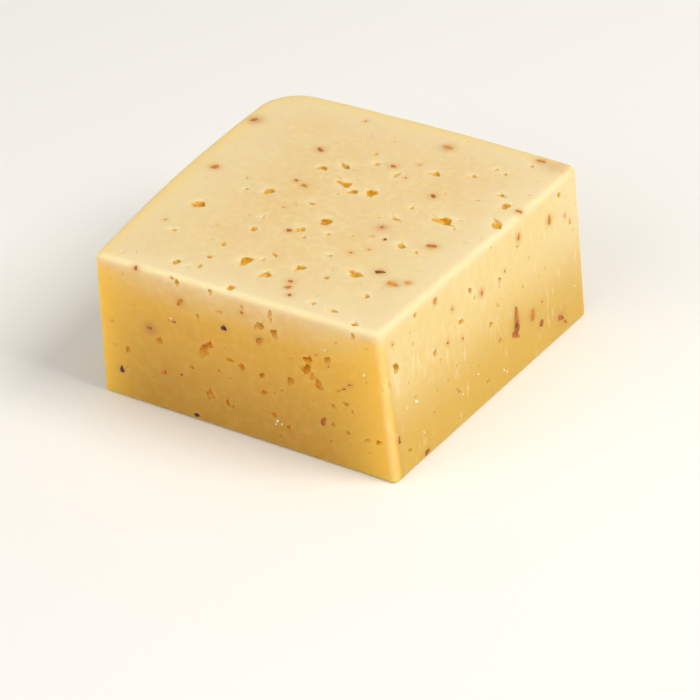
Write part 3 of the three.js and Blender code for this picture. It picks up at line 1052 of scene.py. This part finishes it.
dry_crumb = new_material("dried_crumb_of_curd")
crumb_colour = lay_over(dry_crumb, "#fdf7e4", "#f3e3b4", speckle(dry_crumb, CRUMB_MOTTLE_MM),
                        curve="LINEAR")
matt = {"Value": crumb_colour, "To Min": 0.6, "To Max": 0.75}
crumb_roughness = add_node(dry_crumb, "ShaderNodeMapRange", matt, **SMOOTH).outputs["Result"]
wet_curd(dry_crumb, crumb_colour, crumb_roughness, CRUMB_REACH,
         speckle(dry_crumb, CRUMB_GRAIN_MM), GRAIN_DEPTH)
crumbs.data.materials.append(dry_crumb)

# %% [markdown]
# ### Dried spice
#
# Leaf and skin that were dried, then soaked through with whey fat: orange to red-brown, darker
# where the flake is thick, with a fine fibre to it and a slight oily gloss. Each flake carries
# its own darkness, and a ramp of four colours turns that into the look of the mixture.

# %% Spice
SPICE_COLOURS = ((0.0, "#eda032"), (0.35, "#d27d20"), (0.65, "#a35a20"), (1.0, "#34170c"))
SPICE_REACH = 0.8 * MM
FIBRE_MM = 0.5
FIBRE_DEPTH = 0.08 * MM


def finish_spice(material):
    """Dried flakes of spice."""
    shader = shader_of(material)
    links = material.node_tree.links
    fibre = speckle(material, FIBRE_MM, (1, 1, 3), detail=3)
    shades = {"Value": fibre, "From Min": 0.3, "From Max": 0.7, "To Min": -0.16, "To Max": 0.16}
    uneven = add_node(material, "ShaderNodeMapRange", shades, **SMOOTH).outputs["Result"]
    darkness = add_node(material, "ShaderNodeAttribute", attribute_name="darkness").outputs["Fac"]
    tone = add_node(material, "ShaderNodeMath", {0: darkness, 1: uneven},
                    operation="ADD", use_clamp=True)
    colours = add_node(material, "ShaderNodeValToRGB", {"Fac": tone.outputs[0]})
    stops = colours.color_ramp.elements
    while len(stops) < len(SPICE_COLOURS):
        stops.new(0.5)
    for stop, (position, colour) in zip(stops, SPICE_COLOURS):
        stop.position = position
        stop.color = linear(colour)
    links.new(colours.outputs["Color"], shader.inputs["Base Color"])
    oily_to_dry = {"Value": fibre, "From Min": 0.3, "From Max": 0.7, "To Min": 0.6, "To Max": 0.75}
    roughness = add_node(material, "ShaderNodeMapRange", oily_to_dry, **SMOOTH)
    links.new(roughness.outputs["Result"], shader.inputs["Roughness"])
    shader.inputs["Subsurface Weight"].default_value = 0.25
    shader.inputs["Subsurface Radius"].default_value = (1.0, 0.35, 0.1)
    shader.inputs["Subsurface Scale"].default_value = SPICE_REACH
    bump = add_node(material, "ShaderNodeBump", {"Height": fibre, "Distance": FIBRE_DEPTH})
    links.new(bump.outputs["Normal"], shader.inputs["Normal"])


dried_spice = new_material("dried_spice_flake")
finish_spice(dried_spice)
spice.data.materials.clear()
spice.data.materials.append(dried_spice)
for piece in (spice, crumbs):
    make_active(piece)
    bpy.ops.object.shade_smooth_by_angle(angle=math.radians(50))
print(f"spice: {len(SPICE_COLOURS)} colours")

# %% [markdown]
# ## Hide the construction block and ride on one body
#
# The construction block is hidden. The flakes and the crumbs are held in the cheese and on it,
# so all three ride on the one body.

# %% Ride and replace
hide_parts("cheese_block")
for piece, slot in ((cheese, "pressed_curd"), (spice, "spice_flake"), (crumbs, "pressed_curd")):
    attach(piece, "root")

# %% [markdown]
# ## Studio
#
# A pale floor and soft light. The main light is a large soft box high on the right, so the right
# side is the brightest, the top a little less, and the front is in soft shade, where the
# scattered light in the curd shows best. A wide weak one in front fills that shade.

# %% Floor and lights
bpy.ops.object.select_all(action="DESELECT")
bpy.ops.mesh.primitive_plane_add(size=6, location=(0, 0, low.z))
floor = bpy.context.object
floor.name = "floor"
paper = new_material("pale_paper")
shader_of(paper).inputs["Base Color"].default_value = linear("#f4f3f0")
shader_of(paper).inputs["Roughness"].default_value = 0.9
floor.data.materials.append(paper)


def soft_box(name, place, size, power, colour):
    """A square area light that looks at the middle of the block."""
    data = bpy.data.lights.new(name, "AREA")
    data.size = size
    data.energy = power
    data.color = linear(colour)[:3]
    lamp = bpy.data.objects.new(name, data)
    lamp.location = place
    lamp.rotation_euler = (Vector(place) - (low + high) / 2).to_track_quat("Z", "Y").to_euler()
    bpy.context.scene.collection.objects.link(lamp)


soft_box("main_light", (0.88, 0.1, 1.12), 0.8, 13.9, "#fffaf0")
soft_box("fill_light", (-0.5, -1.2, 0.8), 1.2, 8, "#fffdf8")

world = bpy.data.worlds.new("studio")
world.use_nodes = True
background = world.node_tree.nodes["Background"]
background.inputs["Color"].default_value = linear("#ffffff")
background.inputs["Strength"].default_value = 0.44
bpy.context.scene.world = world
bpy.context.scene.view_settings.view_transform = "Standard"
